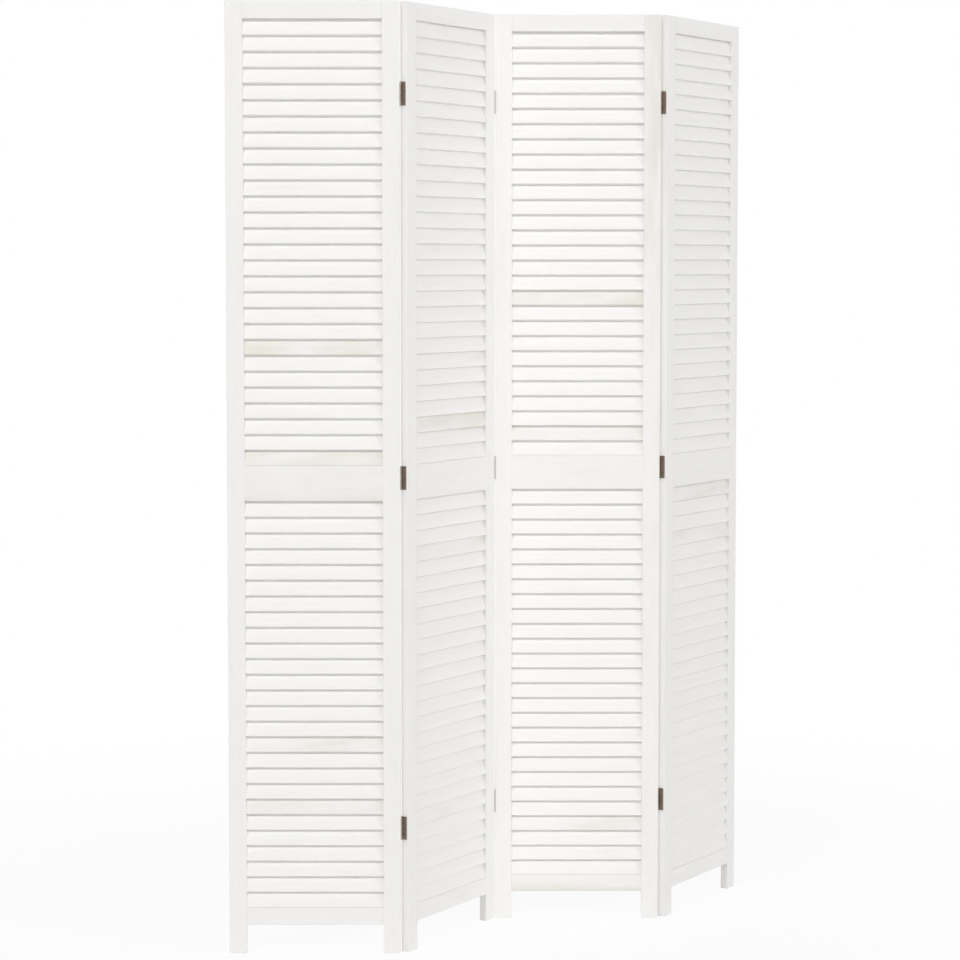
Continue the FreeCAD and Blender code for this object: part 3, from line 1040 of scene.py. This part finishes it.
def eased_copy(node, easing):
    """A copy of a frame node's mesh with its arrises rounded."""
    weld_distance = 0.001 * MILLIMETRE
    flat_angle = math.radians(0.5)
    arris_angle = math.radians(35.0)
    bm = bmesh.new()
    bm.from_mesh(frame["nodes"][node].data)
    bmesh.ops.remove_doubles(bm, verts=bm.verts, dist=weld_distance)
    bmesh.ops.dissolve_limit(bm, angle_limit=flat_angle, verts=bm.verts, edges=bm.edges)
    worker = working_object(node, mesh_from(bm, node))
    bevel = worker.modifiers.new("easing", "BEVEL")
    bevel.limit_method = "ANGLE"
    bevel.angle_limit = arris_angle
    bevel.width = easing
    bevel.segments = 2
    return smooth_shaded(applied_mesh(worker))


def finish_hinge(node, body, axis, material):
    """Put an eased leaf or set of pins in place of its node, with its points' places from the axis."""
    mesh = eased_copy(node, bpy.context.scene.screen_hinges.leaf_easing)
    numbers = [number for vertex in mesh.vertices for number in vertex.co - axis]
    mesh.attributes.new("axis_place", "FLOAT_VECTOR", "POINT").data.foreach_set("vector", numbers)
    mesh.materials.clear()
    mesh.materials.append(material)
    finish_piece(f"bronze_{node}", mesh, body, "hinge_bronze", node)


class BuildHinges(bpy.types.Operator):
    """Make the hinge leaves and pins, and give the screws their bronze"""

    bl_idname = "folding_screen.build_hinges"
    bl_label = "Build Hinges"

    def execute(self, context):
        hinge_bronze = bronze_and_highlight_material()
        screw_bronze = bronze_material("screw_bronze_finish", fineness=2.0)[0]
        for joint, fold in zip(frame["joints"], FOLDS):
            axis = Vector(joint["pos_m"])
            finish_hinge(f"{fold.name}_pins", fold.left_panel, axis, hinge_bronze)
            for side, body in (("left", fold.left_panel), ("right", fold.right_panel)):
                dress_node(f"{fold.name}_{side}_screws", screw_bronze)
                for level in HINGE_NAMES:
                    finish_hinge(f"{fold.name}_{level}_{side}_leaf", body, axis, hinge_bronze)
        return {"FINISHED"}


def seen_directly(wiring):
    """One for rays from the camera and in reflections or glass, zero for the light on the object."""
    path = wiring.node("ShaderNodeLightPath").outputs
    mirrored = wiring.math("MAXIMUM", path["Is Glossy Ray"], path["Is Transmission Ray"])
    return wiring.math("MAXIMUM", path["Is Camera Ray"], mirrored)


def light_sky(world, strength):
    """Even light from all sides, seen as plain white directly and in reflections."""
    white_colour = opaque((1.0, 1.0, 1.0))
    wiring = emptied_wiring(world)
    light = wiring.made("ShaderNodeBackground", None, {"Color": white_colour, "Strength": strength})
    white = wiring.made("ShaderNodeBackground", None, {"Color": white_colour, "Strength": 1.0})
    mixed = wiring.made("ShaderNodeMixShader", None, {0: seen_directly(wiring), 1: light, 2: white})
    wiring.node("ShaderNodeOutputWorld", None, {"Surface": mixed})


def floor_material(stage):
    """A pale matt floor that is seen lifted towards white, with the shadow kept."""
    material = bpy.data.materials.new("pale_floor")
    wiring = emptied_wiring(material)
    matt = wiring.made("ShaderNodeBsdfDiffuse", None, {"Color": opaque(stage.floor_colour)})
    white = wiring.made("ShaderNodeEmission", None, {"Strength": 1.0})
    distance = wiring.length(wiring.object_place())
    whiteness = wiring.ramp(distance, stage.white_start, stage.white_end, stage.floor_whiteness, 1.0)
    share = wiring.math("MULTIPLY", seen_directly(wiring), whiteness)
    mixed = wiring.made("ShaderNodeMixShader", None, {0: share, 1: matt, 2: white})
    wiring.node("ShaderNodeOutputMaterial", None, {"Surface": mixed})
    return material


def set_camera(scene, stage):
    """The camera at the photograph's viewing angle."""
    camera = bpy.data.objects.new("camera", bpy.data.cameras.new("camera"))
    scene.collection.objects.link(camera)
    camera.location = stage.camera_place
    camera.rotation_euler = (math.pi / 2 - stage.camera_dip, 0.0, 0.0)
    camera.data.lens = stage.camera_lens
    camera.data.sensor_width = stage.camera_sensor
    camera.data.shift_y = stage.camera_shift
    scene.camera = camera


def hang_lamp(name, place, power, width):
    """A soft lamp that looks at the middle of the screen."""
    stage = bpy.context.scene.screen_stage
    lamp = bpy.data.objects.new(name, bpy.data.lights.new(name, "AREA"))
    bpy.context.scene.collection.objects.link(lamp)
    lamp.location = place
    aim = Vector((0.0, 0.0, PANEL_HEIGHT / 2)) - lamp.location
    lamp.rotation_euler = aim.to_track_quat("-Z", "Y").to_euler()
    lamp.data.energy = power
    lamp.data.shape = "RECTANGLE"
    lamp.data.size = width
    lamp.data.size_y = stage.lamp_height


def lay_floor(stage):
    """The square floor."""
    half = stage.floor_size / 2
    bm = bmesh.new()
    for x, y in ((-half, -half), (half, -half), (half, half), (-half, half)):
        bm.verts.new((x, y, 0.0))
    bm.faces.new(bm.verts)
    floor = working_object("floor", mesh_from(bm, "floor"))
    floor.data.materials.append(floor_material(stage))


class BuildStage(bpy.types.Operator):
    """Set up the camera, the soft light and the pale floor"""

    bl_idname = "folding_screen.build_stage"
    bl_label = "Build Stage"

    def execute(self, context):
        scene = context.scene
        stage = scene.screen_stage
        scene.view_settings.view_transform = "Standard"
        set_camera(scene, stage)
        if scene.world is None:
            scene.world = bpy.data.worlds.new("studio")
        light_sky(scene.world, stage.sky_strength)
        hang_lamp("key", stage.key_place, stage.key_power, stage.narrow_lamp)
        hang_lamp("front", stage.front_place, stage.front_power, stage.wide_lamp)
        hang_lamp("side", stage.side_place, stage.side_power, stage.narrow_lamp)
        hang_lamp("back", stage.back_place, stage.back_power, stage.wide_lamp)
        lay_floor(stage)
        return {"FINISHED"}


SETTINGS = {
    "screen_wood": ScreenWoodSettings,
    "screen_hinges": ScreenHingeSettings,
    "screen_stage": ScreenStageSettings,
}
BUILDERS = (BuildStage, BuildStiles, BuildRails, BuildSlats, DressDowels, BuildHinges)


class ScreenSidebar(bpy.types.Panel):
    """Lists the settings of the screen and the steps that dress it"""

    bl_idname = "VIEW3D_PT_folding_screen"
    bl_label = "Folding Screen"
    bl_space_type = "VIEW_3D"
    bl_region_type = "UI"
    bl_category = "Folding Screen"

    def draw(self, context):
        for name, kind in SETTINGS.items():
            box = self.layout.box()
            for setting in kind.__annotations__:
                box.prop(getattr(context.scene, name), setting)
        for builder in BUILDERS:
            self.layout.operator(builder.bl_idname)


def register():
    """Register the settings, the steps and the panel."""
    for name, settings in SETTINGS.items():
        bpy.utils.register_class(settings)
        setattr(bpy.types.Scene, name, bpy.props.PointerProperty(type=settings))
    for kind in (*BUILDERS, ScreenSidebar):
        bpy.utils.register_class(kind)


def unregister():
    """Take everything out again that register put in."""
    for kind in (ScreenSidebar, *reversed(BUILDERS)):
        bpy.utils.unregister_class(kind)
    for name, settings in SETTINGS.items():
        delattr(bpy.types.Scene, name)
        bpy.utils.unregister_class(settings)


def main():
    """Dress the whole screen."""
    register()
    bpy.ops.folding_screen.build_stage()
    bpy.ops.folding_screen.build_stiles()
    bpy.ops.folding_screen.build_rails()
    bpy.ops.folding_screen.build_slats()
    bpy.ops.folding_screen.dress_dowels()
    bpy.ops.folding_screen.build_hinges()


if __name__ == "__main__":
    main()
